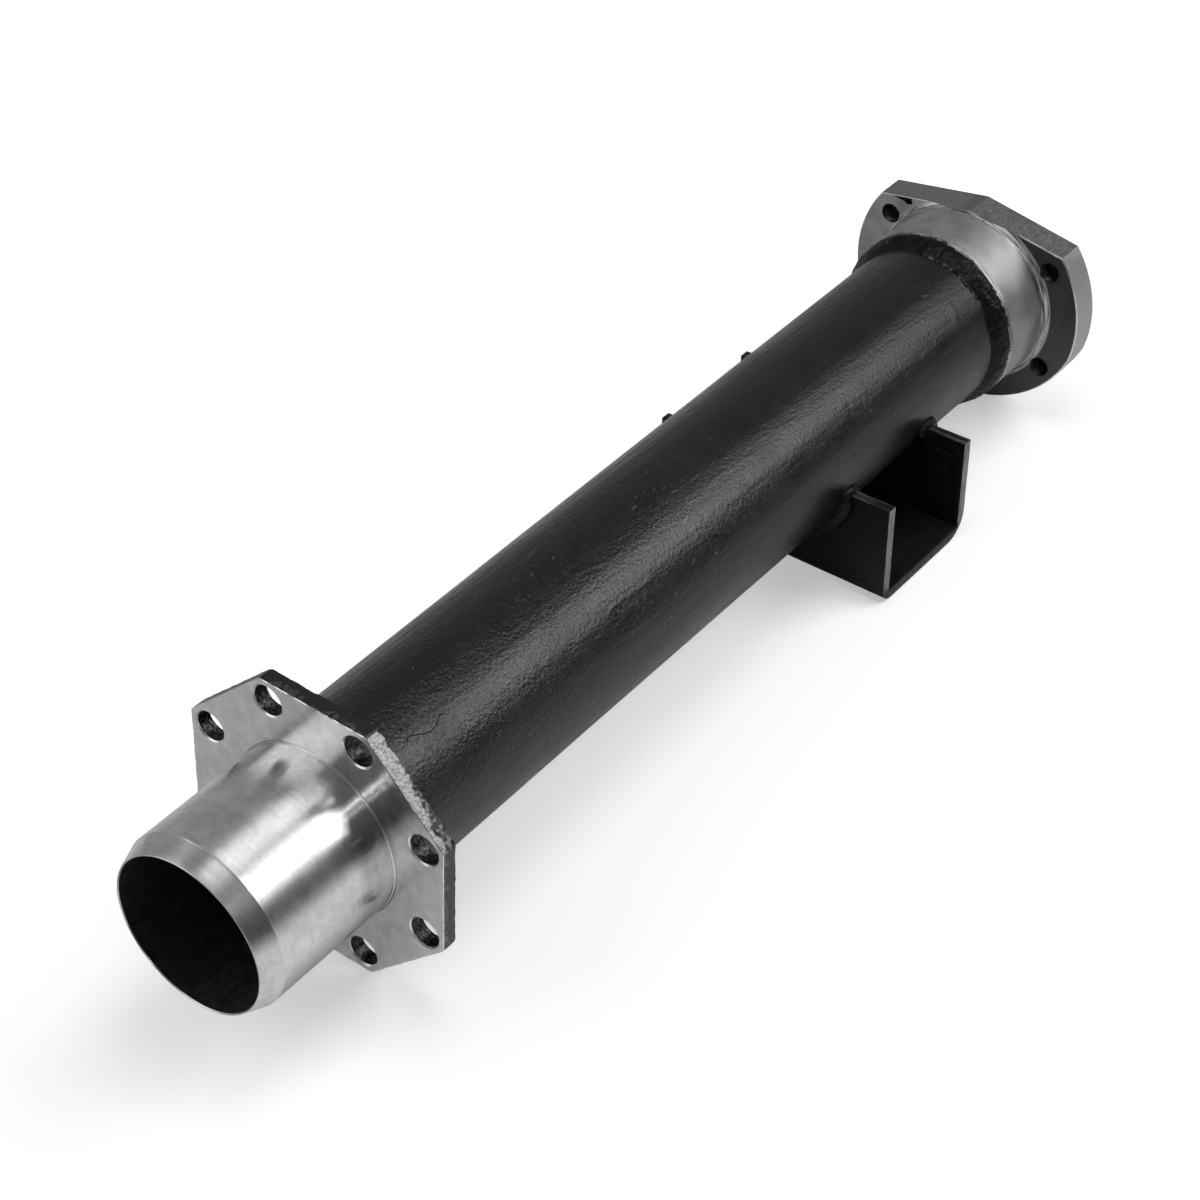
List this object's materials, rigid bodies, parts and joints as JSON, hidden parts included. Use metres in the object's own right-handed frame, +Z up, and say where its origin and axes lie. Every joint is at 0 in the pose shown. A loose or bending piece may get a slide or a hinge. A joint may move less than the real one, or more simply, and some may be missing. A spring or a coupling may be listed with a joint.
{
  "type": "axle housing",
  "caption": "Welded axle tube with a turned spigot and octagonal bolt flange at one end, a bearing flange at the other and a channel bracket underneath.",
  "frame": {"origin": "on the tube's axis, in the mounting face of the octagonal flange, at the centre of its bolt circle", "axes": "+X along the tube to the wheel end, +Z up, away from the bracket, +Y to the left looking along +X"},
  "size_m": [0.5325, 0.1218, 0.1218],
  "materials": {
    "painted_tube": "satin black paint over drawn steel tube; the spigot is bare turned steel",
    "bare_steel": "turned face, flame-cut edges with peeling black paint",
    "dark_steel": "dark satin machined steel",
    "painted_bracket": "satin black paint, sawn ends bare",
    "painted_weld": "rough black weld bead"
  },
  "bodies": {
    "root": {"axle_tube": "painted_tube", "inner_flange": "bare_steel", "outer_flange": "dark_steel", "saddle_bracket": "painted_bracket", "inner_flange_weld": "painted_weld", "outer_flange_weld": "painted_weld", "inner_leg_weld": "painted_weld", "outer_leg_weld": "painted_weld"}
  },
  "joints": []
}
